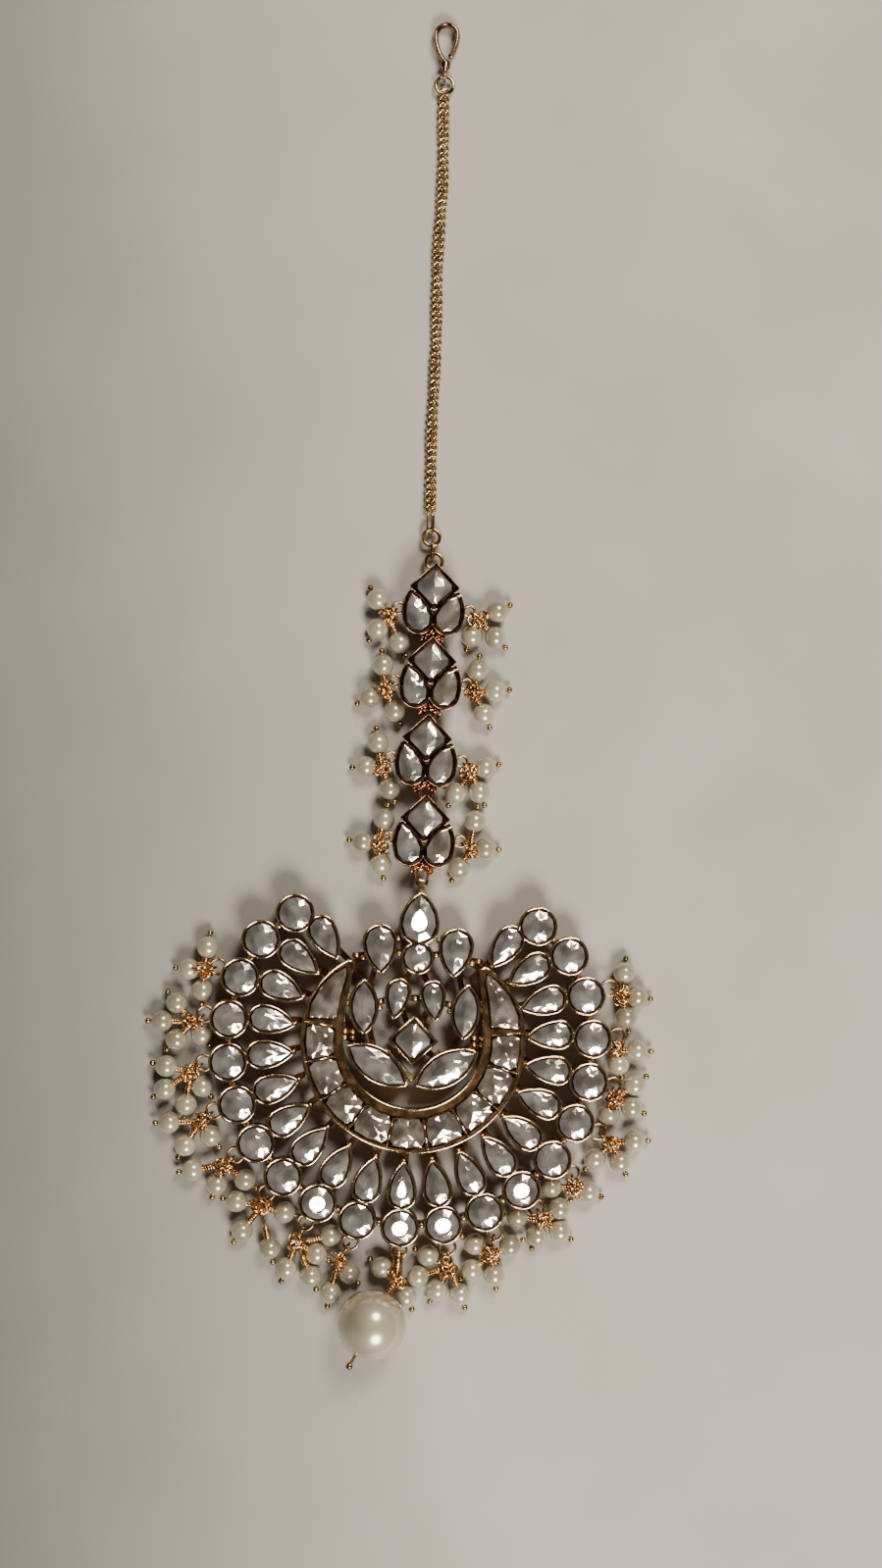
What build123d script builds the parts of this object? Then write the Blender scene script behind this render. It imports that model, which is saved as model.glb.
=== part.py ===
from build123d import *
import os
from collections import namedtuple
from math import acos, cos, degrees, hypot, pi, radians, sin, sqrt, tan

# Maang tikka (forehead jewel) lying on its back, in millimetres.
# +Y runs up the jewel from the drop pearl to the hair hook, +Z is up from the surface it lies on.
# The layout is worked out about the middle of the crescent; at the end everything is moved so
# that the origin is the middle of the foot of the whole jewel's box.

# ------------------------------------------------------------------ driving sizes
BACK = 1.8              # back of the settings above the surface: the pearls hold them up
SETTING_H = 2.4         # height of a collet
CUP_FLOOR = 0.7         # closed back of a collet
WALL = 0.45             # collet wall
PLAY = 0.12             # free play round a stone in its collet
SEAT_GAP = 0.15         # foil gap under a stone
GIRDLE_DROP = 0.35      # a stone's girdle below the collet's rim
CROWN_RUN = 0.42        # width of the crown facets, as a share of the half width
CROWN_RISE = 0.75       # rise of the crown facets for each millimetre of their width
BAR_H = 1.0             # soldered bars under and between the collets
JOIN_W = 0.8            # width of the thin bars between collets
BALL_R = 0.42           # granulation ball
BALL_Z = BACK + 1.3     # height of the granulation balls
PAD = (8.7, 0.35)       # round pad under the four balls beside the lotus
PAD_R = 0.95
WIRE = 0.20             # half thickness of rings and loops
PIN = 0.16              # half thickness of the head pins

FAN = (-0.4, -0.6)      # middle of the two fan rows
FAN_COUNT = 10          # settings each side of the middle one
END_ROUND_IN = 1.05     # the two end rounds stand this much nearer to the middle
END_PEAR_IN = 0.5       # and the two end pears this much
END_PEAR_LEAN = 9       # degrees that the two end pears lean further
ROUND_STEP = 13.6       # degrees from one round setting to the next
ROUND_REACH = 24.75
ROUND_D = 3.9
PEAR_STEP = 13.9
PEAR_REACH = 19.1
PEAR_W, PEAR_L = 2.66, 5.0
TIP_BALL_IN = 3.25      # granulation ball at a pear's tip, in from its middle
LOOP_COUNT = 8          # rim loops each side of the bottom one
LOOP_R = 1.05
LOOP_Z = BACK + 0.35
LOOP_REACH = ROUND_REACH + ROUND_D / 2 + PLAY + WALL + LOOP_R - 0.12

CRESCENT_R = 15.1       # outside of the crescent
CRESCENT_BARS = (10.9, 33.3, 54.3, 76.0, 97.4)
HORN_TURN = 118         # degrees from the bottom at which the crescent's horns start to lean in
CHANNEL_OUT = 14.5      # stones of the crescent lie between these two circles
CHANNEL_IN = 10.8
CHANNEL_IN_Y = 0.2
RIM_IN = 9.55           # inside of its broad inner rim
RIM_IN_Y = 0.25
BAR_W = 0.42
RIDGE_H = 1.7           # V ridge under the lotus square

LINK_Y = (61.6, 51.6, 41.1, 30.2)
LINK_X = (-0.4, -0.3, -0.3, 0.0)
LINK_SQUARE = 5.0       # across the corners
LINK_PEAR = (2.9, 4.9)
LINK_PEAR_AT = (2.25, -3.5)     # from the middle of the square
LINK_PEAR_TURN = 18
SIDE_LOOP = (4.85, -2.9)        # side loops, from the middle of the square
SIDE_LOOP_R = 0.75
STAPLE_R = 0.6          # eye soldered on the back of a link
RING_Z = BACK - 0.33    # rings lie flat at this height, through the eyes
STAPLE_TOP = 2.6        # eye near the top corner, from the middle of the square
STAPLE_FOOT = -4.9      # eye between the two pears
EYE_WIRE = 0.17
PENDANT_EYE_Y = 20.9
LINK_RING = (0.75, 0.18)        # half width and half thickness of the rings between the links

CHAIN_R = 0.95
END_EYE = (0.7, 1.25)           # radius and height of the eye at the chain's lower end
RING_BIG = 1.12                 # the two large rings under the chain
RING_WIRE = 0.26
JOINT_RING = (0.65, 0.17)       # half width and half thickness of the ring that joins them
END_LINK = (0.75, 0.17)
HOOK_Z = 1.0
HOOK_RING = (1.2, 0.24)
HOOK_W, HOOK_L = 2.95, 5.2      # loop of the hair hook along the middle of its band
HOOK_BAND = (0.36, 0.75)        # half width and half height of the band
HOOK_BARREL = (0.72, 1.0)       # radius and length of the barrel at its neck

PEARL_R = 1.5
DROP_R = 4.7
HOLE_R = PIN + 0.13
HEAD_R = 0.42           # ball end of a head pin
HEAD_OUT = 0.5          # its distance from the pearl
KNOT_R = 0.55

Setting = namedtuple("Setting", "cut width length x y turn")


# ------------------------------------------------------------------ outlines of the cuts
def flank_radius(half_width, rise):
    return (half_width ** 2 + rise ** 2) / (2 * half_width)


def pear_edges(width, length, grow):
    """Teardrop, tip towards +Y, centred on its length; grow moves the whole line outwards."""
    r = width / 2
    middle = r - length / 2
    flank = flank_radius(r, length - r)
    reach = flank + grow
    spread = acos((flank - r) / reach)
    tip = (0, middle + reach * sin(spread))
    side = (r + grow, middle)
    bow = (r - flank + reach * cos(spread / 2), middle + reach * sin(spread / 2))
    foot = (0, middle - r - grow)
    return [ThreePointArc(tip, (-bow[0], bow[1]), (-side[0], side[1])),
            ThreePointArc((-side[0], side[1]), foot, side),
            ThreePointArc(side, bow, tip)]


def navette_edges(width, length, grow):
    """Pointed oval, tips towards +Y and -Y."""
    flank = flank_radius(width / 2, length / 2)
    reach = flank + grow
    tip = sqrt(reach ** 2 - (flank - width / 2) ** 2)
    side = width / 2 + grow
    return [ThreePointArc((0, tip), (-side, 0), (0, -tip)),
            ThreePointArc((0, -tip), (side, 0), (0, tip))]


def square_edges(diagonal, grow):
    """Square standing on its corner."""
    d = diagonal / 2 + grow * sqrt(2)
    corners = [(d, 0), (0, d), (-d, 0), (0, -d)]
    return [Line(a, b) for a, b in zip(corners, corners[1:] + corners[:1])]


def outline(s, grow):
    """Face of a setting's outline in its place."""
    if s.cut == "round":
        face = Circle(s.width / 2 + grow).face()
    elif s.cut == "pear":
        face = make_face(pear_edges(s.width, s.length, grow)).face()
    elif s.cut == "navette":
        face = make_face(navette_edges(s.width, s.length, grow)).face()
    else:
        face = make_face(square_edges(s.width, grow)).face()
    return Pos(s.x, s.y, 0) * Rot(0, 0, s.turn) * face


def on_arc(centre, radius, start, end, steps):
    """Points of an arc between two angles in degrees, both ends included."""
    turns = [radians(start + (end - start) * i / steps) for i in range(steps + 1)]
    return [(centre[0] + radius * cos(t), centre[1] + radius * sin(t)) for t in turns]


def facet_corners(s):
    """Corners of the cut stone, counter-clockwise, before it is put in its place."""
    if s.cut == "round":
        return on_arc((0, 0), s.width / 2, 0, 330, 11)
    if s.cut == "pear":
        r = s.width / 2
        middle = r - s.length / 2
        flank = flank_radius(r, s.length - r)
        spread = degrees(acos((flank - r) / flank))
        right = on_arc((r - flank, middle), flank, 0, spread, 3)[1:]
        left = [(-x, y) for x, y in reversed(right[:-1])]
        return on_arc((0, middle), r, 180, 360, 4) + right + left
    if s.cut == "navette":
        flank = flank_radius(s.width / 2, s.length / 2)
        spread = degrees(acos((flank - s.width / 2) / flank))
        right = on_arc((s.width / 2 - flank, 0), flank, -spread, spread, 5)
        return right[:-1] + [(-x, -y) for x, y in right[:-1]]
    d = s.width / 2
    cut = 0.12 * d
    return [(d - cut, -cut), (d - cut, cut), (cut, d - cut), (-cut, d - cut),
            (-d + cut, cut), (-d + cut, -cut), (-cut, -d + cut), (cut, -d + cut)]


def inset(corners, distance):
    """Moves every side of a counter-clockwise polygon inwards."""
    moved = []
    count = len(corners)
    for i, (x, y) in enumerate(corners):
        x0, y0 = corners[i - 1]
        x1, y1 = corners[(i + 1) % count]
        a, b = hypot(x - x0, y - y0), hypot(x1 - x, y1 - y)
        n0 = ((y0 - y) / a, (x - x0) / a)
        n1 = ((y - y1) / b, (x1 - x) / b)
        share = distance / (1 + n0[0] * n1[0] + n0[1] * n1[1])
        moved.append((x + share * (n0[0] + n1[0]), y + share * (n0[1] + n1[1])))
    return moved


def polygon_at(corners, z):
    return make_face(Polyline(*[(x, y, z) for x, y in corners], close=True)).face()


def cut_stone(corners, half_width, middle=(0, 0)):
    """Flat-backed stone: upright girdle, one ring of crown facets and a table."""
    foot = BACK + CUP_FLOOR + SEAT_GAP
    girdle = BACK + SETTING_H - GIRDLE_DROP
    table = girdle + CROWN_RISE * CROWN_RUN * half_width
    top = [(middle[0] + (x - middle[0]) * (1 - CROWN_RUN), middle[1] + (y - middle[1]) * (1 - CROWN_RUN))
           for x, y in corners]
    sections = [polygon_at(corners, foot), polygon_at(corners, girdle), polygon_at(top, table)]
    return loft(sections, ruled=True).solid()


def stone(s):
    """Stone of a setting; a pear's table lies nearer its round end."""
    middle = (0, 0.5 * (s.width - s.length) / 2) if s.cut == "pear" else (0, 0)
    return Pos(s.x, s.y, 0) * Rot(0, 0, s.turn) * cut_stone(facet_corners(s), s.width / 2, middle)


def prism(face, low, high):
    return Pos(0, 0, low) * extrude(face, high - low, dir=(0, 0, 1)).solid()


def bar(a, b, width):
    """Flat soldered bar with round ends between two points."""
    run = hypot(b[0] - a[0], b[1] - a[1])
    turn = degrees(acos((b[0] - a[0]) / run)) * (1 if b[1] >= a[1] else -1)
    face = SlotCenterToCenter(run, width).face()
    return Pos((a[0] + b[0]) / 2, (a[1] + b[1]) / 2, 0) * Rot(0, 0, turn) * face


def ball(x, y, z, radius):
    return Pos(x, y, z) * Sphere(radius).solid()


def both_sides(points):
    return [(side * x, y) for x, y in points for side in (1, -1)]


# ------------------------------------------------------------------ wire work
def flat_ring(x, y, z, radius, wire=WIRE):
    return Pos(x, y, z) * Torus(radius, wire).solid()


def upright_ring(x, y, z, radius, heading, wire=WIRE):
    """Ring standing up, in the plane of Z and the heading in degrees."""
    ring = Rot(90, 0, 0) * Rot(0, 0, 90) * Torus(radius, wire).solid()
    return Pos(x, y, z) * Rot(0, 0, heading) * ring


def oval_ring(y_low, y_high, x, z, radius, wire=WIRE, tilt=0):
    """Long ring along Y: its wire's middle line runs from y_low to y_high; tilt turns it about that line."""
    path = SlotOverall(y_high - y_low, 2 * radius).face().outer_wire()
    section = Plane(origin=path @ 0, z_dir=path % 0) * Circle(wire).face()
    ring = Rot(0, tilt, 0) * Rot(0, 0, 90) * sweep(section, path=path).solid()
    return Pos(x, (y_low + y_high) / 2, z) * ring


def rod(a, b, radius):
    a, b = Vector(*a), Vector(*b)
    line = b - a
    stick = Cylinder(radius, line.length, align=(Align.CENTER, Align.CENTER, Align.MIN))
    return (Plane(origin=a, z_dir=line) * stick).solid()


# ------------------------------------------------------------------ settings of the pendant
def fan_spot(reach, turn):
    t = radians(turn)
    return FAN[0] + reach * sin(t), FAN[1] - reach * cos(t)


def fan_rounds():
    rows = []
    for k in range(-FAN_COUNT, FAN_COUNT + 1):
        reach = ROUND_REACH - (END_ROUND_IN if abs(k) == FAN_COUNT else 0)
        rows.append(Setting("round", ROUND_D, ROUND_D, *fan_spot(reach, k * ROUND_STEP), 0))
    return rows


def fan_pears():
    """Tips point to the middle; the two end ones lean a little further."""
    rows = []
    for k in range(-FAN_COUNT, FAN_COUNT + 1):
        turn = k * PEAR_STEP
        reach, lean = PEAR_REACH, 0
        if abs(k) == FAN_COUNT:
            reach -= END_PEAR_IN
            lean = END_PEAR_LEAN * k / FAN_COUNT
        rows.append(Setting("pear", PEAR_W, PEAR_L, *fan_spot(reach, turn), turn + lean))
    return rows


CROWN = {
    "crown_pear_stone": Setting("pear", 4.05, 5.8, 0, 16.6, 0),
    "crown_round_stone": Setting("round", 3.1, 3.1, 0, 11.3, 0),
    "crown_left_stone": Setting("pear", 3.35, 5.3, -5.1, 12.3, 184),
    "crown_right_stone": Setting("pear", 3.35, 5.3, 5.1, 12.3, 176),
}
LOTUS = {
    "lotus_square_stone": Setting("square", 5.0, 5.0, 0, 0.1, 0),
    "lotus_left_pear_stone": Setting("pear", 2.1, 4.1, -2.45, 5.7, 172),
    "lotus_right_pear_stone": Setting("pear", 2.1, 4.1, 2.45, 5.7, 188),
    "lotus_left_navette_stone": Setting("navette", 2.6, 6.0, -6.9, 4.3, 3),
    "lotus_right_navette_stone": Setting("navette", 2.6, 6.0, 6.9, 4.3, -3),
    "lotus_left_leaf_stone": Setting("navette", 3.3, 8.1, -4.7, -3.5, 59),
    "lotus_right_leaf_stone": Setting("navette", 3.3, 8.1, 4.7, -3.5, -59),
}


# ------------------------------------------------------------------ crescent
def channel_reach(turn, radius, centre_y):
    """Distance from the layout's middle to a circle whose own middle lies at centre_y."""
    t = radians(turn)
    return -centre_y * cos(t) + sqrt(radius ** 2 - (centre_y * sin(t)) ** 2)


def radial(turn, reach):
    return reach * sin(radians(turn)), -reach * cos(radians(turn))


def crescent_stone_corners(start, end, gap):
    """Wedge between two bars, its corners cut, counter-clockwise."""
    inner = channel_reach((start + end) / 2, CHANNEL_IN, CHANNEL_IN_Y)
    low = degrees((BAR_W / 2) / CHANNEL_OUT)
    near = degrees((BAR_W / 2) / inner)
    a = radial(start + low, CHANNEL_OUT)
    b = radial((start + end) / 2, CHANNEL_OUT)
    c = radial(end - low, CHANNEL_OUT)
    d = radial(end - near, inner)
    e = radial((start + end) / 2, inner)
    f = radial(start + near, inner)
    corners = inset([a, b, c, d, e, f], gap)
    if gap > 0:
        cut = []
        for i in (0, 2, 3, 5):
            x, y = corners[i]
            for j in ((i - 1) % 6, (i + 1) % 6):
                cut.append((x + 0.2 * (corners[j][0] - x), y + 0.2 * (corners[j][1] - y)))
        corners = [cut[0], cut[1], corners[1], cut[2], cut[3], cut[4], cut[5], corners[4], cut[6], cut[7]]
    return corners


def tip_stone_corners(side, gap):
    """Long tapering stone at each horn of the crescent."""
    right = [(14.25, 2.45), (14.0, 4.3), (12.7, 6.85), (10.9, 8.7), (9.55, 9.55), (9.45, 8.4),
             (10.1, 5.6), (10.5, 2.45)]
    corners = right if side > 0 else [(-x, y) for x, y in reversed(right)]
    return inset(corners, gap)


def crescent_metal():
    """The whole crescent, with its broad inner rim, as one face."""
    horn = radial(CRESCENT_BARS[-1], CRESCENT_R)
    inner = (9.5, 1.9)
    outer_bow, tip_out, tip_in, inner_bow = (12.95, 7.25), (9.3, 10.5), (8.5, 10.2), (9.15, 6.3)

    def left(p):
        return -p[0], p[1]
    edges = [ThreePointArc(left(horn), (0, -CRESCENT_R), horn),
             ThreePointArc(horn, outer_bow, tip_out),
             Line(tip_out, tip_in),
             ThreePointArc(tip_in, inner_bow, inner),
             ThreePointArc(inner, (0, RIM_IN_Y - RIM_IN), left(inner)),
             ThreePointArc(left(inner), left(inner_bow), left(tip_in)),
             Line(left(tip_in), left(tip_out)),
             ThreePointArc(left(tip_out), left(outer_bow), left(horn))]
    return make_face(edges).face()


def crescent_corners(gap):
    """Corner lists of all eleven crescent stones, from horn to horn."""
    turns = [-t for t in reversed(CRESCENT_BARS)] + list(CRESCENT_BARS)
    wedges = [crescent_stone_corners(a, b, gap) for a, b in zip(turns, turns[1:])]
    return [tip_stone_corners(-1, gap)] + wedges + [tip_stone_corners(1, gap)]


# ------------------------------------------------------------------ the pendant's frame
BALLS = both_sides([(2.75, 13.75), (2.5, 11.7), (7.4, 10.85), (8.3, 11.2), (4.7, 5.1), (4.75, 4.2),
                    (9.1, 5.6), (9.15, 4.6), (8.25, -0.1), (9.3, -0.1), (8.25, 0.8),
                    (9.3, 0.8)]) + [(0.0, 5.7), (0.0, -5.3)]


MIDDLE_JOINS = (((0, 11.3), (0, 16.6)), ((0, 19.0), (0, 21.0)))
SIDE_JOINS = (((0, 11.3), (5.1, 12.3)), ((5.1, 12.3), (9.2, 9.7)), ((5.1, 12.3), (6.9, 4.3)),
              ((2.45, 5.7), (0, 11.3)), ((2.45, 5.7), (0, 0.1)), ((2.45, 5.7), (6.9, 4.3)),
              ((4.7, -3.5), (0, 0.1)), ((6.9, 4.3), (4.7, -3.5)), ((6.9, 4.3), (10.0, 4.6)),
              ((4.7, -3.5), (9.6, 0.6)), ((4.7, -3.5), (0, -5.1)), ((0, 5.7), (2.45, 5.7)),
              ((7.3, 11.2), (8.5, 11.1)))


def frame_bars(rounds, pears):
    """Soldered bars that carry the settings, as faces."""
    bars = [bar((a.x, a.y), (b.x, b.y), 1.0) for a, b in zip(rounds, rounds[1:])]
    bars += [bar((a.x, a.y), (b.x, b.y), 1.2) for a, b in zip(rounds, pears)]
    for k, s in zip(range(-FAN_COUNT, FAN_COUNT + 1), pears):
        turn = k * PEAR_STEP
        past_horn = max(0, abs(turn) - HORN_TURN)
        bars.append(bar((s.x, s.y), radial(turn, CRESCENT_R - 0.5 - 0.15 * past_horn), JOIN_W))
    bars += [bar(a, b, JOIN_W) for a, b in MIDDLE_JOINS]
    for side in (1, -1):
        bars += [bar((side * a[0], a[1]), (side * b[0], b[1]), JOIN_W) for a, b in SIDE_JOINS]
        bars.append(Pos(side * PAD[0], PAD[1], 0) * Circle(PAD_R).face())
    return bars


def granulation(rounds):
    """Little balls beside the lotus, between the rounds and at the pears' tips."""
    balls = [ball(x, y, BALL_Z, BALL_R) for x, y in BALLS]
    balls += [ball((a.x + b.x) / 2, (a.y + b.y) / 2, BALL_Z, BALL_R + 0.1)
              for a, b in zip(rounds, rounds[1:])]
    balls += [ball(*fan_spot(PEAR_REACH - TIP_BALL_IN, k * PEAR_STEP), BALL_Z, BALL_R)
              for k in range(-FAN_COUNT, FAN_COUNT + 1)]
    return balls


def pendant_frame():
    rounds, pears = fan_rounds(), fan_pears()
    everything = rounds + pears + list(CROWN.values()) + list(LOTUS.values())
    ridge = make_face(Polyline((-3.9, -1.6), (0, -5.5), (3.9, -1.6), (3.5, -1.2), (0, -4.7),
                               (-3.5, -1.2), close=True)).face()
    bodies = [prism(outline(s, PLAY + WALL), BACK, BACK + SETTING_H) for s in everything]
    bodies.append(prism(crescent_metal(), BACK, BACK + SETTING_H))
    bodies.append(prism(ridge, BACK, BACK + RIDGE_H))
    bodies += [prism(f, BACK, BACK + BAR_H) for f in frame_bars(rounds, pears)]
    bodies += granulation(rounds)
    bodies += [flat_ring(*fan_spot(LOOP_REACH, k * ROUND_STEP), LOOP_Z, LOOP_R)
               for k in range(-LOOP_COUNT, LOOP_COUNT + 1)]
    bodies.append(upright_ring(0, PENDANT_EYE_Y, RING_Z, STAPLE_R, 90, EYE_WIRE))
    metal = Part() + bodies
    floor, above = BACK + CUP_FLOOR, BACK + SETTING_H + 1
    pockets = [prism(outline(s, PLAY), floor, above) for s in everything]
    pockets += [prism(polygon_at(c, 0), floor, above) for c in crescent_corners(0)]
    return metal - pockets


# ------------------------------------------------------------------ links
def link_settings(i):
    x, y = LINK_X[i], LINK_Y[i]
    out, up = LINK_PEAR_AT
    return {"square": Setting("square", LINK_SQUARE, LINK_SQUARE, x, y, 0),
            "left": Setting("pear", *LINK_PEAR, x - out, y + up, LINK_PEAR_TURN),
            "right": Setting("pear", *LINK_PEAR, x + out, y + up, -LINK_PEAR_TURN)}


def link_frame(i):
    x, y = LINK_X[i], LINK_Y[i]
    settings = link_settings(i).values()
    metal = [prism(outline(s, PLAY + WALL), BACK, BACK + SETTING_H) for s in settings]
    bars = [bar((x, y - 3.0), (x, y - 5.1), 1.3)]
    for side in (1, -1):
        bars.append(bar((x + side * LINK_PEAR_AT[0], y + LINK_PEAR_AT[1]), (x + side * 3.8, y + SIDE_LOOP[1]),
                        0.6))
        metal.append(flat_ring(x + side * SIDE_LOOP[0], y + SIDE_LOOP[1], LOOP_Z, SIDE_LOOP_R))
    metal += [prism(f, BACK, BACK + BAR_H) for f in bars]
    metal.append(ball(x, y - 3.3, BACK + SETTING_H - 0.35, BALL_R))
    metal.append(upright_ring(x, y + STAPLE_TOP, RING_Z, STAPLE_R, 90, EYE_WIRE))
    metal.append(upright_ring(x, y + STAPLE_FOOT, RING_Z, STAPLE_R, 90, EYE_WIRE))
    pockets = [prism(outline(s, PLAY), BACK + CUP_FLOOR, BACK + SETTING_H + 1) for s in settings]
    return (Part() + metal) - pockets


# ------------------------------------------------------------------ bunches of pearls
# Rim: loop number, heading of the wire ring, its reach, and where each pearl lies (x, y).
RIM_BUNCHES = (
    (-8, 198, 2.0, ((-31.0, 7.9), (-29.1, 5.1), (-28.7, 11.0))),
    (-7, 215, 2.0, ((-32.5, 3.2), (-34.3, 0.5), (-32.4, -1.7), (-28.9, -1.0))),
    (-6, 217, 2.2, ((-33.5, -5.6), (-28.8, -8.0), (-30.5, -10.6), (-33.5, -8.6))),
    (-5, 219, 2.4, ((-32.4, -13.1), (-30.3, -16.2), (-26.9, -14.7))),
    (-4, 225, 2.0, ((-29.1, -19.5), (-25.7, -21.3), (-22.0, -20.7))),
    (-3, 251, 2.0, ((-22.8, -23.2), (-21.9, -27.4), (-16.3, -24.6), (-18.0, -29.6))),
    (-2, 250, 3.0, ((-15.6, -32.2), (-11.9, -29.5), (-12.2, -32.9), (-9.5, -28.2))),
    (-1, 240, 3.0, ((-7.0, -32.4), (-9.8, -35.1))),
    (1, 280, 2.7, ((3.6, -29.5), (2.6, -32.4), (4.9, -33.9), (8.4, -33.8))),
    (2, 264, 3.0, ((9.9, -27.5), (9.8, -31.2), (12.6, -31.6), (14.6, -27.4))),
    (3, 300, 2.0, ((15.5, -23.4), (17.8, -26.1), (21.2, -24.8), (20.8, -21.4))),
    (4, 285, 2.0, ((19.9, -18.9), (24.4, -19.4))),
    (5, 325, 2.4, ((25.7, -15.0), (30.9, -12.3), (29.1, -15.2))),
    (6, 278, 2.0, ((30.0, -4.4), (29.8, -7.9), (27.0, -9.4))),
    (7, 265, 1.9, ((29.9, -0.5), (28.2, -2.3))),
    (8, 335, 2.0, ((28.3, 10.6), (30.0, 7.2), (28.9, 4.6))),
)
CENTRE_PEARLS = ((-2.6, -31.4), (0.9, -35.0))
CENTRE_COIL = (-0.5, -32.6)     # foot of the long wrapped wire above the drop
DROP = (-3.5, -38.5)

# Links: link number, side, heading, and where each pearl lies (x, y).
LINK_BUNCHES = (
    (0, -1, 222, ((-8.1, 59.7), (-7.9, 55.7), (-4.8, 54.0))),
    (0, 1, -40, ((8.3, 59.0), (5.0, 55.4), (8.2, 55.4))),
    (1, -1, 225, ((-6.9, 50.8), (-8.5, 46.3), (-5.0, 44.6))),
    (1, 1, -45, ((5.9, 50.6), (8.6, 48.0), (7.2, 44.8))),
    (2, -1, 225, ((-7.0, 40.2), (-8.3, 36.8), (-5.1, 34.0))),
    (2, 1, -45, ((7.6, 37.5), (7.0, 34.0), (4.0, 34.0))),
    (3, -1, 215, ((-5.6, 29.8), (-8.3, 26.5), (-5.7, 23.6))),
    (3, 1, -35, ((6.8, 30.2), (8.3, 26.4), (4.9, 23.7))),
)
RING_B = 0.76           # wire ring of a bunch
RING_B_AT = 1.0         # its middle, out from the middle of the loop it hangs in
Bunch = namedtuple("Bunch", "loop heading knot pearls")


def ahead(spot, heading, reach):
    return spot[0] + reach * cos(radians(heading)), spot[1] + reach * sin(radians(heading))


def make_bunches():
    """Every bunch with its loop, its knot and its pearls as first laid out."""
    bunches = {"left": [], "right": [], "centre": [], "links": []}
    for k, heading, reach, pearls in RIM_BUNCHES:
        loop = fan_spot(LOOP_REACH, k * ROUND_STEP)
        side = "left" if k < 0 else "right"
        bunches[side].append(Bunch(loop, heading, ahead(loop, heading, reach), pearls))
    loop = fan_spot(LOOP_REACH, 0)
    bunches["centre"].append(Bunch(loop, 270, CENTRE_COIL, CENTRE_PEARLS))
    for i, side, heading, pearls in LINK_BUNCHES:
        loop = (LINK_X[i] + side * SIDE_LOOP[0], LINK_Y[i] + SIDE_LOOP[1])
        bunches["links"].append(Bunch(loop, heading, ahead(loop, heading, 1.75), pearls))
    return bunches


def pushed(point, other, least, flat=False):
    """The point moved straight away from the other until they are the least distance apart."""
    gap = [point[0] - other[0], point[1] - other[1], 0 if flat else point[2] - other[2]]
    size = sqrt(sum(g * g for g in gap)) or 1e-6
    if size >= least:
        return point
    share = (least - size) / size
    return [p + share * g for p, g in zip(point, gap)]


def nearest_on(a, b, point):
    run = [b[i] - a[i] for i in range(3)]
    size = sum(r * r for r in run)
    share = sum((point[i] - a[i]) * run[i] for i in range(3)) / size
    share = min(1, max(0, share))
    return [a[i] + share * run[i] for i in range(3)]


def settle(bunches, discs, passes=160):
    """Nudges the pearls until each lies clear of the others, the knots, the wires and the metal."""
    beads, knots, owner = [], [], []
    for bunch in bunches:
        knots.append([*bunch.knot, LOOP_Z])
        for x, y in bunch.pearls:
            beads.append([x, y, PEARL_R])
            owner.append(len(knots) - 1)
    loops = [[*bunch.loop, LOOP_Z] for bunch in bunches]
    pearl_gap = 2 * PEARL_R + 0.15
    knot_gap = PEARL_R + KNOT_R + 0.15
    wire_gap = PEARL_R + PIN + 0.2
    head_gap = PEARL_R + HEAD_R + 0.12
    for _ in range(passes):
        for i, bead in enumerate(beads):
            knot = knots[owner[i]]
            run = [bead[n] - knot[n] for n in range(3)]
            size = sqrt(sum(r * r for r in run))
            head = [bead[n] + run[n] / size * (PEARL_R + HEAD_OUT) for n in range(3)]
            for j, other in enumerate(beads):
                if i == j or abs(bead[0] - other[0]) > 9 or abs(bead[1] - other[1]) > 9:
                    continue
                half = [(bead[n] + other[n]) / 2 for n in range(3)]
                moved = pushed(bead, half, pearl_gap / 2)
                other[:] = pushed(other, half, pearl_gap / 2)
                bead[:] = moved
                other[:] = pushed(other, nearest_on(knot, bead, other), wire_gap)
                other[:] = pushed(other, head, head_gap)
            for loop, end in zip(loops, knots):
                bead[:] = pushed(bead, end, knot_gap)
                if end is not knot:
                    bead[:] = pushed(bead, nearest_on(loop, end, bead), wire_gap)
                else:
                    bead[:] = pushed(bead, nearest_on(loop, end, bead), wire_gap, flat=True)
            for x, y, radius in discs:
                bead[:] = pushed(bead, (x, y, 0), radius + PEARL_R + 0.12, flat=True)
            bead[:] = pushed(bead, (*DROP, DROP_R), DROP_R + PEARL_R + 0.15)
            bead[2] = max(PEARL_R, bead[2] - 0.01)
    settled, row = [], 0
    for bunch in bunches:
        settled.append(bunch._replace(pearls=[tuple(b) for b in beads[row:row + len(bunch.pearls)]]))
        row += len(bunch.pearls)
    return settled


def metal_discs():
    """Round outlines that the pearls keep clear of."""
    edge = PLAY + WALL
    discs = [(s.x, s.y, s.width / 2 + edge) for s in fan_rounds()]
    discs += [(*fan_spot(LOOP_REACH, k * ROUND_STEP), LOOP_R + WIRE)
              for k in range(-LOOP_COUNT, LOOP_COUNT + 1)]
    for x, y in zip(LINK_X, LINK_Y):
        discs.append((x, y, 2.6))
        for side in (1, -1):
            discs.append((x + side * 1.94, y - 4.45, 2.05))
            discs.append((x + side * 2.6, y - 2.4, 1.5))
            discs.append((x + side * SIDE_LOOP[0], y + SIDE_LOOP[1], SIDE_LOOP_R + WIRE))
    return discs


def head_pin(knot, spot, bead_radius, wire, head_radius, head_out):
    """Stem and ball end of one pin, starting inside its knot."""
    line = Vector(*spot) - Vector(*knot)
    reach = line.length + bead_radius + head_out
    stem = Pos(0, 0, 0.4) * Cylinder(wire, reach - 0.4, align=(Align.CENTER, Align.CENTER, Align.MIN))
    pin = stem + Pos(0, 0, reach) * Sphere(head_radius)
    return (Plane(origin=Vector(*knot), z_dir=line) * pin).solid()


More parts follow.
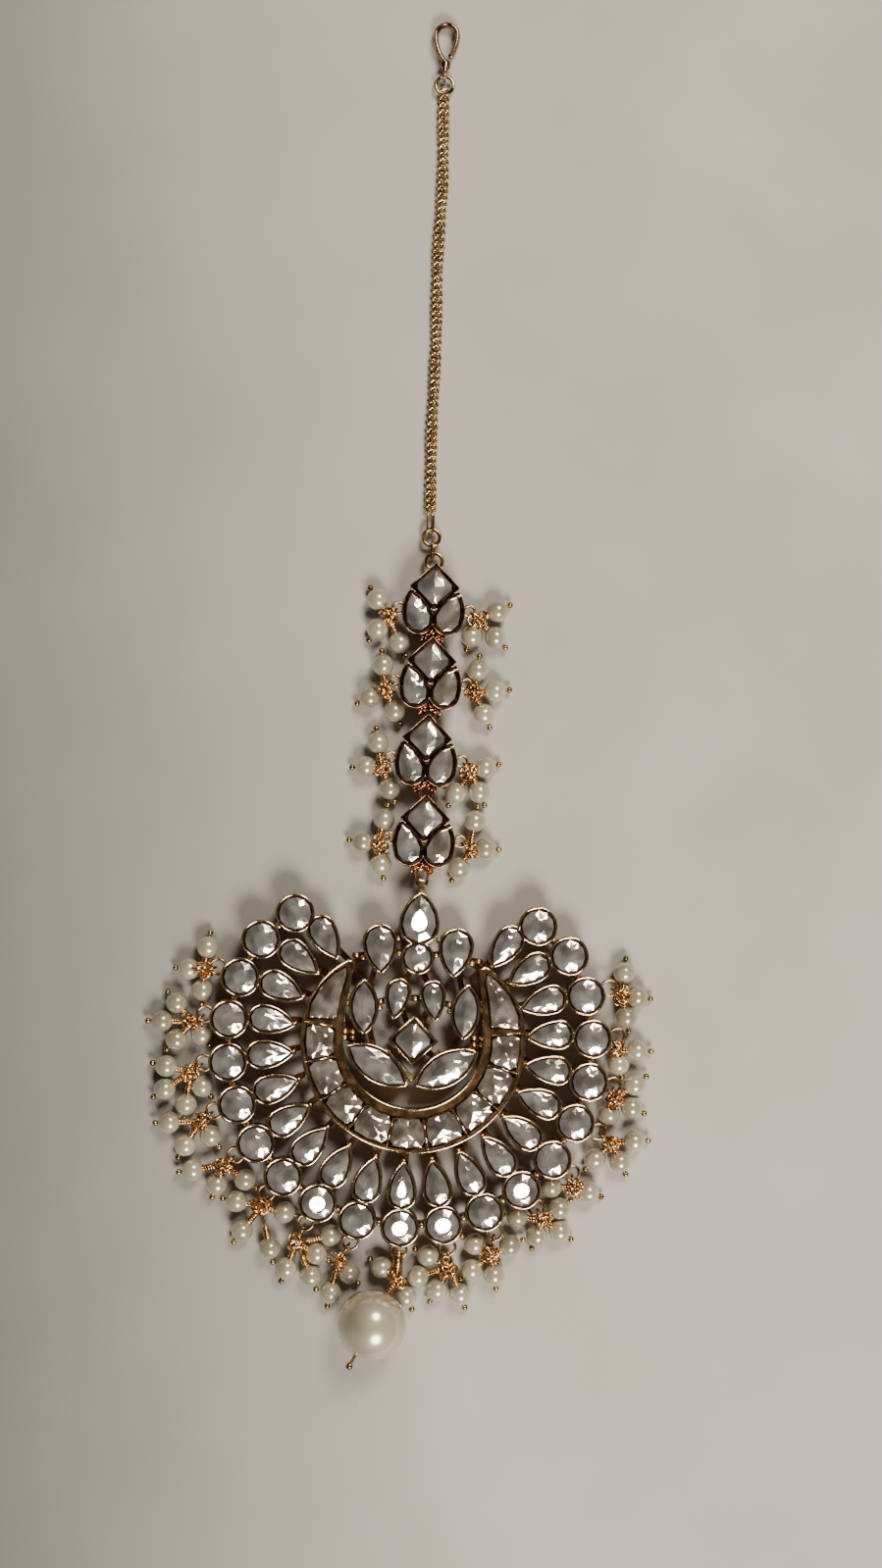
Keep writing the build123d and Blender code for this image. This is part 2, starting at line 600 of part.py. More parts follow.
def pins(bunch, seam=45):
    """Head pins of one bunch, twisted together: ring, knot, stems and their ball ends."""
    knot = (*bunch.knot, LOOP_Z)
    ring_at = ahead(bunch.loop, bunch.heading, RING_B_AT)
    ring_end = (*ahead(bunch.loop, bunch.heading, RING_B_AT + RING_B), LOOP_Z)
    twist = Pos(*knot) * Rot(0, 0, bunch.heading) * Rot(90, 0, seam) * Sphere(KNOT_R)
    wires = [upright_ring(*ring_at, LOOP_Z, RING_B, bunch.heading, PIN), twist]
    if hypot(knot[0] - ring_end[0], knot[1] - ring_end[1]) > 0.6:
        wires.append(rod(ring_end, knot, 0.3))
    wires += [head_pin(knot, spot, PEARL_R, PIN, HEAD_R, HEAD_OUT) for spot in bunch.pearls]
    return wires


def pearl(knot, spot, radius=PEARL_R, hole=HOLE_R):
    """Pearl drilled in line with the knot."""
    line = Vector(*spot) - Vector(*knot)
    bead = Sphere(radius) - Cylinder(hole, 4 * radius)
    return (Plane(origin=Vector(*spot), z_dir=line) * bead).solid()


# ------------------------------------------------------------------ chain, rings and hook
CHAIN_ROUTE = ((-1.6, 72.95), (-2.0, 83.0), (-2.0, 94.5), (-2.45, 106.0), (-2.3, 117.5), (-2.8, 128.6))
RING_LOWER = (-0.7, LINK_Y[0] + STAPLE_TOP + RING_BIG, RING_Z - 0.05)
RING_UPPER = (-1.25, 68.6, 1.25)
HOOK_NECK = (CHAIN_ROUTE[-1][0] - 0.1, 132.35)


def chain():
    """Plain bar along the chain's route, with the eye that each end link makes."""
    corners = [Vector(x, y, CHAIN_R) for x, y in CHAIN_ROUTE]
    runs = [b - a for a, b in zip(corners, corners[1:])]
    radii = []
    for a, b in zip(runs, runs[1:]):
        shorter = min(a.length, b.length)
        radii.append(0.45 * shorter / tan(radians(a.get_angle(b)) / 2))
    path = FilletPolyline(*corners, radius=radii)
    section = Plane(origin=path @ 0, z_dir=path % 0) * Circle(CHAIN_R)
    bare = sweep(section, path=path).solid()
    low, high = CHAIN_ROUTE[0], CHAIN_ROUTE[-1]
    radius, height = END_EYE
    eyes = [flat_ring(low[0], low[1] - radius, height, radius),
            upright_ring(high[0], high[1] + 0.7, CHAIN_R, 0.65, 90, 0.18)]
    return (Part() + [bare] + eyes).solid()


def hook_band():
    """Upright band bent to a teardrop whose free end stops just short of the neck."""
    r = HOOK_W / 2
    middle = HOOK_L - r
    flank = flank_radius(r, middle)
    spread = acos((flank - r) / flank)

    def left_flank(share):
        t = spread * (1 - share)
        return -(r - flank + flank * cos(t)), middle - flank * sin(t)

    def right_flank(share):
        x, y = left_flank(1 - share)
        return -x, y
    path = Wire([ThreePointArc(left_flank(0), left_flank(0.5), left_flank(1)),
                 ThreePointArc(left_flank(1), (0, HOOK_L), right_flank(0)),
                 ThreePointArc(right_flank(0), right_flank(0.35), right_flank(0.7))])
    half_width, half_height = HOOK_BAND
    section = Plane(origin=path @ 0, x_dir=(0, 0, 1), z_dir=path % 0) * Ellipse(half_height, half_width)
    return [sweep(section, path=path).solid(), Pos(*right_flank(0.7), 0) * Sphere(half_width + 0.06).solid()]


def hair_hook():
    x, y = HOOK_NECK
    radius, length = HOOK_BARREL
    barrel = Pos(x, y + 0.9, HOOK_Z) * Rot(90, 0, 0) * Cylinder(radius, length)
    barrel = fillet(barrel.edges().filter_by(GeomType.CIRCLE), 0.25).solid()
    band = [Pos(x, y + 1.2, HOOK_Z) * shape for shape in hook_band()]
    neck = rod((x, y, HOOK_Z), (x, y + 0.9, HOOK_Z), 0.42)
    eye = upright_ring(x, y - 0.6, HOOK_Z, 0.6, 90, 0.2)
    return (Part() + [*band, barrel, neck, eye]).solid()


# ------------------------------------------------------------------ the whole jewel
def make_nodes():
    nodes = {"pendant_frame": [pendant_frame()]}
    for i in range(4):
        nodes[f"link_{i + 1}_frame"] = [link_frame(i)]
        for name, s in link_settings(i).items():
            nodes[f"link_{i + 1}_{name}_stone"] = [stone(s)]
    for name, s in {**CROWN, **LOTUS}.items():
        nodes[name] = [stone(s)]
    nodes["fan_round_stones"] = [stone(s) for s in fan_rounds()]
    nodes["fan_pear_stones"] = [stone(s) for s in fan_pears()]
    nodes["crescent_stones"] = []
    for corners in crescent_corners(PLAY):
        middle = [sum(c[n] for c in corners) / len(corners) for n in (0, 1)]
        nodes["crescent_stones"].append(cut_stone(corners, 1.7, middle))
    bunches = make_bunches()
    names = [name for name in bunches for _ in bunches[name]]
    settled = settle([b for group in bunches.values() for b in group], metal_discs())
    for name, bunch in zip(names, settled):
        knot = (*bunch.knot, LOOP_Z)
        label = {"left": "rim_{}_left", "right": "rim_{}_right", "links": "link_{}",
                 "centre": "drop_{}"}[name]
        if name == "centre":
            drop = (*DROP, DROP_R)
            main = head_pin(knot, drop, DROP_R, 0.22, 0.5, 1.5)
            nodes["drop_pin"] = [Part() + [*pins(bunch, 90), main]]
            nodes["drop_pearl"] = [pearl(knot, drop, DROP_R, 0.36)]
            nodes["drop_small_pearls"] = [pearl(knot, p) for p in bunch.pearls]
            continue
        nodes.setdefault(label.format("pins"), []).append(Part() + pins(bunch))
        nodes.setdefault(label.format("pearls"), []).extend(pearl(knot, p) for p in bunch.pearls)
    for i in range(3):
        foot, top = LINK_Y[i] + STAPLE_FOOT, LINK_Y[i + 1] + STAPLE_TOP
        x = (LINK_X[i] + LINK_X[i + 1]) / 2
        nodes[f"link_ring_{i + 1}"] = [oval_ring(top, foot, x, RING_Z, *LINK_RING)]
    nodes["pendant_ring"] = [oval_ring(PENDANT_EYE_Y, LINK_Y[3] + STAPLE_FOOT, 0, RING_Z, *LINK_RING)]
    nodes["chain_ring_lower"] = [flat_ring(*RING_LOWER, RING_BIG, RING_WIRE)]
    nodes["chain_ring_upper"] = [flat_ring(*RING_UPPER, RING_BIG, RING_WIRE)]
    nodes["chain_ring_joint"] = [oval_ring(65.65, 68.15, -0.98, 1.335, *JOINT_RING, tilt=75)]
    nodes["chain_end_link"] = [oval_ring(69.0, 72.2, -1.5, RING_UPPER[2], *END_LINK, tilt=58)]
    nodes["chain"] = [chain()]
    nodes["hook_ring"] = [flat_ring(CHAIN_ROUTE[-1][0] - 0.05, 130.5, HOOK_Z, *HOOK_RING)]
    nodes["hair_hook"] = [hair_hook()]
    return nodes


def low_and_high(solids):
    """Lowest and highest corner of everything."""
    boxes = [s.bounding_box() for s in solids]
    low = [min(getattr(b.min, axis) for b in boxes) for axis in "XYZ"]
    high = [max(getattr(b.max, axis) for b in boxes) for axis in "XYZ"]
    return low, high


nodes = {name: [s for shape in shapes for s in shape.solids()] for name, shapes in make_nodes().items()}
low, high = low_and_high([s for solids in nodes.values() for s in solids])
shift = Pos(-(low[0] + high[0]) / 2, -(low[1] + high[1]) / 2, -low[2])
os.makedirs("parts", exist_ok=True)
for name, solids in nodes.items():
    moved = [shift * s for s in solids]
    export_step(moved[0] if len(moved) == 1 else Compound(moved), f"parts/{name}.step")
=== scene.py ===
import random
from math import cos, pi, radians, sin

import bmesh
import bpy
from mathutils import Matrix, Vector, kdtree


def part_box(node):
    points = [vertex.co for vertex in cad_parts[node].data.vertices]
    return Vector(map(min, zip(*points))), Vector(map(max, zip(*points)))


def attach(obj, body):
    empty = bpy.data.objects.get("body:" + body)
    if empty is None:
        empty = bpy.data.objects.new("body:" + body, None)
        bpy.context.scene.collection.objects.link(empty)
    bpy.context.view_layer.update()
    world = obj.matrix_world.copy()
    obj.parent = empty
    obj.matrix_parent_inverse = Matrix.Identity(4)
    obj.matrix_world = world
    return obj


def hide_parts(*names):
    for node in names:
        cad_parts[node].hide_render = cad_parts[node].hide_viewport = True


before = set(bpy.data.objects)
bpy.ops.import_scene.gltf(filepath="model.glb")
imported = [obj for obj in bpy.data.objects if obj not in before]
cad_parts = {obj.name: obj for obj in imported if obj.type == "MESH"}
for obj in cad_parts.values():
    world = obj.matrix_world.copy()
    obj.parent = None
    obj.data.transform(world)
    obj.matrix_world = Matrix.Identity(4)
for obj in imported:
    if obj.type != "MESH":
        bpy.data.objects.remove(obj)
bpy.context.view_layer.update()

# Looks of the maang tikka, a forehead jewel lying on its back on a desk. Sizes are in millimetres and angles
# in degrees unless a comment says otherwise; MM turns a size to the scene's metres.
MM = 0.001

# ------------------------------------------------------------------ places and heights
# Places are counted from the middle of the crescent: X to the right, Y up the jewel to the hook.
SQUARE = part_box("lotus_square_stone")
SQUARE_Y = 0.1          # the lotus's square stone lies this little above the middle of the crescent
MIDDLE = Vector(((SQUARE[0][0] + SQUARE[1][0]) / 2, (SQUARE[0][1] + SQUARE[1][1]) / 2 - SQUARE_Y * MM, 0))

FAN = (-0.4, -0.6)      # middle of the two fan rows of settings
BARS_REACH = 27.3       # the low bars between the settings lie this near to the fan's middle
BARS_TOP_Y = 18.4       # and below this
CRESCENT_BARS = (10.9, 33.3, 54.3, 76.0, 97.4)      # turn from the bottom of the bars between its stones
LINK_SPOTS = ((-0.4, 61.6), (-0.3, 51.6), (-0.3, 41.1), (0.0, 30.2))    # middle of each link's square

# Heights above the desk.
LOOP_Z = 2.15           # loops that the bunches hang in
CUP_FLOOR = 2.5         # floor inside the collets
LINK_LOOP_TOP = 2.7     # side loops of the links
LOW_BAR_TOP = 2.85      # bars between the settings
GRAIN_FOOT, GRAIN_TOP = 3.35, 3.6       # granulation, and the ridge under the lotus
GIRDLE_Z = 3.85         # girdle of the stones as the source has them
FLAT_TOP = 4.15         # just under the collets' rims
RIM_TOP = 4.2           # rims of the collets
SEAT_Z = 4.25           # just above them, where the stones' edges are burnished in
TRIM_PROUD = 0.03       # lining and wires stand this far above the rims
NEAR = 0.02             # two heights or places this near each other count as one


def at(x, y, z=0.0):
    """Place in metres of a point given in millimetres from the middle of the crescent."""
    return MIDDLE + Vector((x, y, z)) * MM


# ------------------------------------------------------------------ finishes
def colour(hex_value):
    """sRGB hex value to the linear colour that shaders take."""
    parts = [int(hex_value[i:i + 2], 16) / 255 for i in (1, 3, 5)]
    return (*[c / 12.92 if c <= 0.04045 else ((c + 0.055) / 1.055) ** 2.4 for c in parts], 1.0)


def feed(tree, node, inputs):
    """Links every input that is given a socket, and sets the others."""
    for name, value in inputs.items():
        if isinstance(value, bpy.types.NodeSocket):
            tree.links.new(value, node.inputs[name])
        else:
            node.inputs[name].default_value = value


def add(tree, kind, inputs=None, stops=(), **settings):
    """Adds a node with its settings and links; the stops of a ramp are pairs of position and hex value."""
    made = tree.nodes.new(kind)
    for name, value in settings.items():
        setattr(made, name, value)
    feed(tree, made, inputs or {})
    for i, (position, hex_value) in enumerate(stops):
        ramp = made.color_ramp.elements
        stop = ramp[i] if i < 2 else ramp.new(position)
        stop.position = position
        stop.color = colour(hex_value)
    return made


def finish_named(name):
    """New material, its tree, its shader and its object coordinates."""
    material = bpy.data.materials.new(name)
    material.use_nodes = True
    tree = material.node_tree
    return material, tree, tree.nodes["Principled BSDF"], add(tree, "ShaderNodeTexCoord").outputs["Object"]


def patch(tree, *limits):
    """1 where every limit holds, each a value, GREATER_THAN or LESS_THAN, and a number; 0 elsewhere."""
    held = 1.0
    for value, side, number in limits:
        one = add(tree, "ShaderNodeMath", {0: value, 1: number}, operation=side)
        both = add(tree, "ShaderNodeMath", {0: held, 1: one.outputs["Value"]}, operation="MULTIPLY")
        held = both.outputs["Value"]
    return held


CLOUDY = (0.3, 0.7)             # usual spread of the clouds in the plating
GLOSS_SPREAD = (0.7, 1.5)       # shares of the roughness that it varies between
MARK, MARK_DEPTH = 0.25, 0.1    # size and depth of the casting and drawing marks, coarse enough to show


def plated_metal(name, stops, cloud, rough, painted_light=None):
    """Plated brass: a cloudy tone, a slightly uneven gloss and fine casting or drawing marks. The tones that
    show only in places are painted light and shade, as pairs of a patch and a hex value."""
    material, tree, shader, place = finish_named(name)
    clouds = add(tree, "ShaderNodeTexNoise", {"Vector": place, "Scale": 1 / (cloud * MM), "Detail": 3.0})
    tone = add(tree, "ShaderNodeValToRGB", {"Fac": clouds.outputs["Fac"]}, stops).outputs["Color"]
    # mixes in the painted light and shade, patch by patch
    for where, hex_value in painted_light(tree, place) if painted_light else ():
        tone = add(tree, "ShaderNodeMix", {"Factor": where, 6: tone, 7: colour(hex_value)},
                   data_type="RGBA").outputs[2]
    gloss = add(tree, "ShaderNodeMapRange", {
        "Value": clouds.outputs["Fac"], "From Min": CLOUDY[0], "From Max": CLOUDY[1],
        "To Min": rough * GLOSS_SPREAD[0], "To Max": rough * GLOSS_SPREAD[1]})
    marks = add(tree, "ShaderNodeTexNoise", {"Vector": place, "Scale": 1 / (MARK * MM), "Detail": 2.0})
    relief = add(tree, "ShaderNodeBump", {
        "Height": marks.outputs["Fac"], "Strength": 0.05, "Distance": MARK_DEPTH * MM})
    feed(tree, shader, {"Metallic": 1.0, "Base Color": tone, "Roughness": gloss.outputs["Result"],
                        "Normal": relief.outputs["Normal"]})
    return material


def pendant_painted_light(tree, place):
    """Painted light and shade: painted shade in copper-brown on the low bars, a painted dark reflection on
    the flat tops, and a painted highlight on the granulation and on the ridge under the lotus."""
    spot = add(tree, "ShaderNodeSeparateXYZ", {"Vector": place}).outputs
    normal = add(tree, "ShaderNodeNewGeometry").outputs["Normal"]
    upward = add(tree, "ShaderNodeSeparateXYZ", {"Vector": normal}).outputs["Z"]
    level = add(tree, "ShaderNodeVectorMath", {0: place, 1: (1.0, 1.0, 0.0)}, operation="MULTIPLY")
    reach = add(tree, "ShaderNodeVectorMath", {0: level.outputs["Vector"], 1: tuple(at(*FAN))},
                operation="DISTANCE").outputs["Value"]
    # painted shade: copper-brown on the low bars in the recess under the settings
    bars = patch(tree, (spot["Z"], "LESS_THAN", LOW_BAR_TOP * MM), (reach, "LESS_THAN", BARS_REACH * MM),
                 (spot["Y"], "LESS_THAN", at(0, BARS_TOP_Y).y))
    # painted dark reflection: darker on the level tops
    tops = patch(tree, (spot["Z"], "GREATER_THAN", FLAT_TOP * MM), (upward, "GREATER_THAN", 0.9))
    # painted highlight: brighter on the upward faces of the granulation and the ridge
    grain = patch(tree, (spot["Z"], "GREATER_THAN", GRAIN_FOOT * MM),
                  (spot["Z"], "LESS_THAN", GRAIN_TOP * MM), (upward, "GREATER_THAN", 0.2))
    return (bars, "#6E4630"), (tops, "#8A6A49"), (grain, "#E8C896")


def link_painted_dark(tree, place):
    """Painted dark reflection: brown-black above the links' low loops, which stay gold."""
    height = add(tree, "ShaderNodeSeparateXYZ", {"Vector": place}).outputs["Z"]
    # painted dark reflection above the low loops
    return (patch(tree, (height, "GREATER_THAN", LINK_LOOP_TOP * MM)), "#38261A"),


# Rose-gold plating on cast brass: mellow on the walls, with painted shade, dark reflection and highlights in
# places.
ROSE_GOLD = plated_metal("rose_gold_plate_painted_light", ((0.3, "#8F6B4A"), (0.55, "#B98F67"), (0.75, "#D2AE86")),
                         1.5, 0.24, pendant_painted_light)
# Gold plating of the links' settings: a painted dark reflection makes it brown-black, gold only on the low
# loops.
DARK_PAINTED_GOLD = plated_metal("gold_plate_painted_dark", ((0.3, "#B18A60"), (0.7, "#DDBB8E")), 1.2, 0.24, link_painted_dark)
# Edge of the pendant's rims, polished by wear: a bright line with sharp glints.
RIM_GOLD = plated_metal("worn_bright_rose_gold_edge", ((0.3, "#D8B47C"), (0.7, "#FFEDC8")), 0.9, 0.12)
# Edge of the links' rims, and the hair hook: worn back to a brown gold with a soft shine.
AGED_EDGE = plated_metal("worn_brown_gold_edge", ((0.3, "#6B5340"), (0.7, "#B7977A")), 0.9, 0.2)
# Painted shade and dark reflection inside the collets: a dull brown-black line round each stone.
PAINTED_DARK_LINING = plated_metal("lining_painted_dark", ((0.3, "#1A110B"), (0.7, "#3A271A")), 0.6, 0.34)
# Drawn copper-gold wire: warm and bright, slightly uneven from hand wrapping.
COPPER_GOLD = plated_metal("drawn_copper_gold_wire", ((0.35, "#B07A48"), (0.5, "#D9A86F"), (0.65, "#FBE0B0")),
                           0.6, 0.15)
# Red copper wire coiled round the joints between the links: redder than the wrapping wire.
COPPER = plated_metal("coiled_red_copper_wire", ((0.35, "#A9532F"), (0.5, "#D07E4E"), (0.65, "#F2B283")),
                      0.6, 0.16)
# Light gold wire of the jump rings and the pins, polished by tumbling: a soft straw colour.
PALE_GOLD = plated_metal("tumbled_pale_gold_wire", ((0.3, "#785C32"), (0.7, "#D9B87C")), 1.2, 0.17)
# Fine chain plated light brown gold: its links glitter one by one.
CHAIN_GOLD = plated_metal("brown_gold_chain_plate", ((0.3, "#A58454"), (0.7, "#F7DFAE")), 0.8, 0.14)

FOIL_PATCH = 2.2        # size of the lighter and darker patches of a foil
CREASE_DEPTH = 0.12     # depth of its creases


def foiled_glass(name, stops, crumple=1.6, depth=0.5):
    """Clear cut glass on crumpled foil: the eye sees the foil's tones, broken by creases, under a gloss."""
    material, tree, shader, place = finish_named(name)
    patches = add(tree, "ShaderNodeTexNoise", {
        "Vector": place, "Scale": 1 / (FOIL_PATCH * MM), "Detail": 1.0})
    tone = add(tree, "ShaderNodeValToRGB", {"Fac": patches.outputs["Fac"]}, stops)
    cells = add(tree, "ShaderNodeTexVoronoi", {"Vector": place, "Scale": 1 / (crumple * MM)},
                feature="SMOOTH_F1")
    creases = add(tree, "ShaderNodeBump", {
        "Height": cells.outputs["Distance"], "Strength": depth, "Distance": CREASE_DEPTH * MM})
    feed(tree, shader, {
        "Base Color": tone.outputs["Color"], "Normal": creases.outputs["Normal"], "Metallic": 0.84,
        "Roughness": 0.12, "Coat Weight": 1.0, "Coat Roughness": 0.02, "Coat IOR": 1.52})
    return material


# Glass on silver foil: cool greys from mid to almost white.
SILVER_FOIL = foiled_glass("silver_foiled_glass", ((0.35, "#A5A19B"), (0.5, "#D3CFC9"), (0.65, "#FCF8F1")))
# Glass on champagne foil: the same greys, tinted warm.
WARM_FOIL = foiled_glass("champagne_foiled_glass", ((0.35, "#B5A794"), (0.5, "#DBD0C0"), (0.65, "#FBF4E8")))
# Glass on browned foil with finer, deeper creases: the crescent breaks into small brown and white glints.
CRINKLED_FOIL = foiled_glass("crinkled_brown_foiled_glass",
                             ((0.35, "#9A8D80"), (0.5, "#C4B8AA"), (0.65, "#F3EADE")), 0.8, 0.6)

MILK_CLOUD = 6          # size of the clouds in the pearls' lacquer
# Imitation pearl: glass bead under a pearl lacquer, milky with a wet gloss and faint clouds.
PEARL, tree, shader, place = finish_named("lacquered_imitation_pearl")
milk = add(tree, "ShaderNodeTexNoise", {"Vector": place, "Scale": 1 / (MILK_CLOUD * MM), "Detail": 1.0})
lacquer = add(tree, "ShaderNodeValToRGB", {"Fac": milk.outputs["Fac"]},
              ((0.35, "#A09B83"), (0.65, "#C4BFA7")))
feed(tree, shader, {
    "Base Color": lacquer.outputs["Color"], "Roughness": 0.24, "Metallic": 0.4, "IOR": 1.56,
    "Coat Weight": 1.0, "Coat Roughness": 0.05, "Coat IOR": 1.7})


# ------------------------------------------------------------------ making pieces
def piece(name, bm, material, nodes=(), smooth=True):
    """Turns a bmesh into a piece of the jewel, riding with it."""
    mesh = bpy.data.meshes.new(name)
    for face in bm.faces:
        face.smooth = smooth
    bm.to_mesh(mesh)
    bm.free()
    mesh.materials.append(material)
    made = bpy.data.objects.new(name, mesh)
    bpy.context.scene.collection.objects.link(made)
    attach(made, "root")
    if nodes:
        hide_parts(*nodes)
    return made


def merged_copy(name):
    """Copy of a node's mesh with its loose triangles joined."""
    bm = bmesh.new()
    bm.from_mesh(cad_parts[name].data)
    bmesh.ops.remove_doubles(bm, verts=bm.verts, dist=0.002 * MM)
    return bm


def join(whole, part, place):
    """Puts a small part in its place in the whole piece."""
    bmesh.ops.transform(part, matrix=place, verts=part.verts)
    bmesh.ops.recalc_face_normals(part, faces=part.faces)
    loose = bpy.data.meshes.new("loose")
    part.to_mesh(loose)
    part.free()
    whole.from_mesh(loose)
    bpy.data.meshes.remove(loose)


def along(start, line):
    """Frame at start with its Z along the line."""
    return Matrix.Translation(start) @ line.to_track_quat("Z", "Y").to_matrix().to_4x4()


# ------------------------------------------------------------------ cut stones
LEVEL = 0.995           # a face is level where its normal rises above this
SOURCE_RISE = 0.75      # rise of the source's crown facets for each millimetre of their width
CROWN_RISE = 0.34       # and of these, which start further out
LEAN = 2.2              # usual lean of a table
LIT_WIDER = 1.16        # a table that leans to the light is this much wider
# Tables that lean to the light: their place, and how far they lean about X and about Y.
LIT_TABLES = ((-11.3, -22.9, 12, 8), (5.2, -24.8, 12, 8), (15.6, -19.3, 12, 8), (-0.1, -25.5, 9, 6),
              (-0.4, -19.7, 12, 8), (0.0, 16.6, 17, 8))


def spread_girdle(bm, spread):
    """Laps the girdle over the collet's rim and lays the crown facets flatter."""
    for v in bm.verts:
        if v.co.z > (GIRDLE_Z + 0.05) * MM:
            run = (v.co.z - GIRDLE_Z * MM) / SOURCE_RISE + spread * MM
            v.co.z = SEAT_Z * MM + CROWN_RISE * run
        elif abs(v.co.z - GIRDLE_Z * MM) < 0.01 * MM:
            sides = [f.normal.copy() for f in v.link_faces if abs(f.normal.z) < 0.1]
            if len(sides) == 2:
                outward = (sides[0] + sides[1]) / (1 + sides[0].dot(sides[1]))
                v.co += outward * spread * MM
            v.co.z = SEAT_Z * MM


def leaning(about_x, about_y):
    return Matrix.Rotation(radians(about_x), 3, "X") @ Matrix.Rotation(radians(about_y), 3, "Y")


def cut_stones(name, nodes, material, spread=0.2, star=0.25, rise=0.09, crease=0.05, crown=0.0, lit=()):
    """Stones with a star ring round the table and broken crown facets, set slightly unevenly. A crown raises
    the middle of the table to a point."""
    hand = random.Random(name)
    stones = bmesh.new()
    for node in nodes:
        bm = merged_copy(node)
        bmesh.ops.dissolve_limit(bm, angle_limit=radians(0.8), verts=bm.verts, edges=bm.edges)
        spread_girdle(bm, spread)
        bm.normal_update()
        tables = [f for f in bm.faces if f.normal.z > LEVEL]
        crowns = [f for f in bm.faces if 0.2 < f.normal.z <= LEVEL]
        bmesh.ops.poke(bm, faces=crowns, offset=crease * MM)
        bmesh.ops.inset_individual(bm, faces=tables, thickness=star * MM, depth=rise * MM,
                                   use_even_offset=True)
        for table in tables:
            middle = table.calc_center_median()
            spot = (middle - MIDDLE) / MM
            lean = leaning(hand.gauss(0, LEAN), hand.gauss(0, LEAN))
            for x, y, about_x, about_y in lit:
                if abs(spot.x - x) < 1 and abs(spot.y - y) < 1:
                    lean = leaning(about_x, about_y)
                    ring = {v for corner in table.verts for f in corner.link_faces for v in f.verts}
                    bmesh.ops.scale(bm, verts=list(ring), vec=(LIT_WIDER, LIT_WIDER, 1.0),
                                    space=Matrix.Translation(-middle))
            bmesh.ops.rotate(bm, verts=table.verts, cent=middle, matrix=lean)
        if crown:
            bmesh.ops.poke(bm, faces=tables, offset=crown * MM)
        join(stones, bm, Matrix())
    piece(name, stones, material, nodes, smooth=False)


LINKS = [f"link_{i}" for i in range(1, 5)]
cut_stones("foiled_round_stones", ["fan_round_stones", "crown_round_stone"], SILVER_FOIL, star=0.2, rise=0.07,
           lit=LIT_TABLES)
cut_stones("foiled_pear_stones",
           ["fan_pear_stones", "crown_pear_stone", "crown_left_stone", "crown_right_stone",
            "lotus_left_pear_stone", "lotus_right_pear_stone"], SILVER_FOIL, lit=LIT_TABLES)
cut_stones("foiled_leaf_stones",
           ["lotus_left_navette_stone", "lotus_right_navette_stone", "lotus_left_leaf_stone",
            "lotus_right_leaf_stone"], SILVER_FOIL, crown=0.1)
cut_stones("foiled_crescent_stones", ["crescent_stones"], CRINKLED_FOIL, spread=0.06, crease=0.1, crown=0.22)
cut_stones("foiled_square_stones", ["lotus_square_stone"] + [f"{link}_square_stone" for link in LINKS],
           SILVER_FOIL, spread=0.08, crown=0.15)
cut_stones("foiled_link_pears_left", [f"{link}_left_stone" for link in LINKS], SILVER_FOIL, spread=0.08,
           crown=0.1)
cut_stones("champagne_link_pears_right", [f"{link}_right_stone" for link in LINKS], WARM_FOIL, spread=0.08,
           crown=0.1)

# ------------------------------------------------------------------ collets: dark lining and bright edge
OVERHANG = 0.1                          # the lining leans this far over the stone
CHANNEL_WIRE_R, CHANNEL_WIRE_LENGTH = 0.1, 4.2
CHANNEL_REACH = 12.8                    # middle of the crescent's channel, from the middle of the crescent


def keep_level(bm, height):
    """Leaves only the level faces at a height."""
    kept = {f for f in bm.faces
            if f.normal.z > LEVEL and abs(f.calc_center_median().z - height * MM) < NEAR * MM}
    bmesh.ops.delete(bm, geom=[f for f in bm.faces if f not in kept], context="FACES")


def collet_trim(node, label, lining_mm, edge_mm, edge_finish):
    """Wall of painted shade raised from every cup's floor outline, and a bead along the outside of the rims.
    """
    bm = merged_copy(node)
    keep_level(bm, CUP_FLOOR)
    outline = [e for e in bm.edges if e.is_boundary]
    cups = kdtree.KDTree(len(bm.verts))
    for i, v in enumerate(bm.verts):
        cups.insert((v.co.x, v.co.y, 0), i)
    cups.balance()
    walls = bmesh.ops.extrude_edge_only(bm, edges=outline)["geom"]
    bmesh.ops.translate(bm, verts=[v for v in walls if isinstance(v, bmesh.types.BMVert)],
                        vec=(0, 0, (RIM_TOP + TRIM_PROUD - CUP_FLOOR) * MM))
    bmesh.ops.delete(bm, geom=[f for f in bm.faces if abs(f.normal.z) > 0.5], context="FACES")
    # the dark lining is painted shade and dark reflection
    lining = piece(f"{label}_painted_dark_lining", bm, PAINTED_DARK_LINING)
    wall = lining.modifiers.new("wall", "SOLIDIFY")
    wall.thickness = lining_mm * MM
    wall.offset = 2 * OVERHANG / lining_mm - 1

    def round_a_cup(edge):
        return all(cups.find((v.co.x, v.co.y, 0))[2] < NEAR * MM for v in edge.verts)

    bm = merged_copy(node)
    keep_level(bm, RIM_TOP)
    outside = [e for e in bm.edges if e.is_boundary and not round_a_cup(e)]
    rounded_edge(f"{label}_rounded_edge", outside, edge_mm, edge_finish)
    bm.free()


def rounded_edge(name, edges, radius_mm, finish):
    """Round bead of metal along every run of edges."""
    curve = bpy.data.curves.new(name, "CURVE")
    curve.dimensions = "3D"
    curve.bevel_depth = radius_mm * MM
    curve.bevel_resolution = 1
    left = dict.fromkeys(edges)
    while left:
        start = next(iter(left))
        del left[start]
        run = [start.verts[0], start.verts[1]]
        while True:
            further = [e for e in run[-1].link_edges if e in left]
            if not further:
                break
            del left[further[0]]
            run.append(further[0].other_vert(run[-1]))
        closed = run[0] is run[-1]
        if closed:
            run.pop()
        spline = curve.splines.new("POLY")
        spline.points.add(len(run) - 1)
        for point, v in zip(spline.points, run):
            point.co = (*v.co, 1)
        spline.use_cyclic_u = closed
    holder = bpy.data.objects.new(name, curve)
    mesh = bpy.data.meshes.new_from_object(holder)
    bpy.data.objects.remove(holder)
    bm = bmesh.new()
    bm.from_mesh(mesh)
    bpy.data.meshes.remove(mesh)
    piece(name, bm, finish)


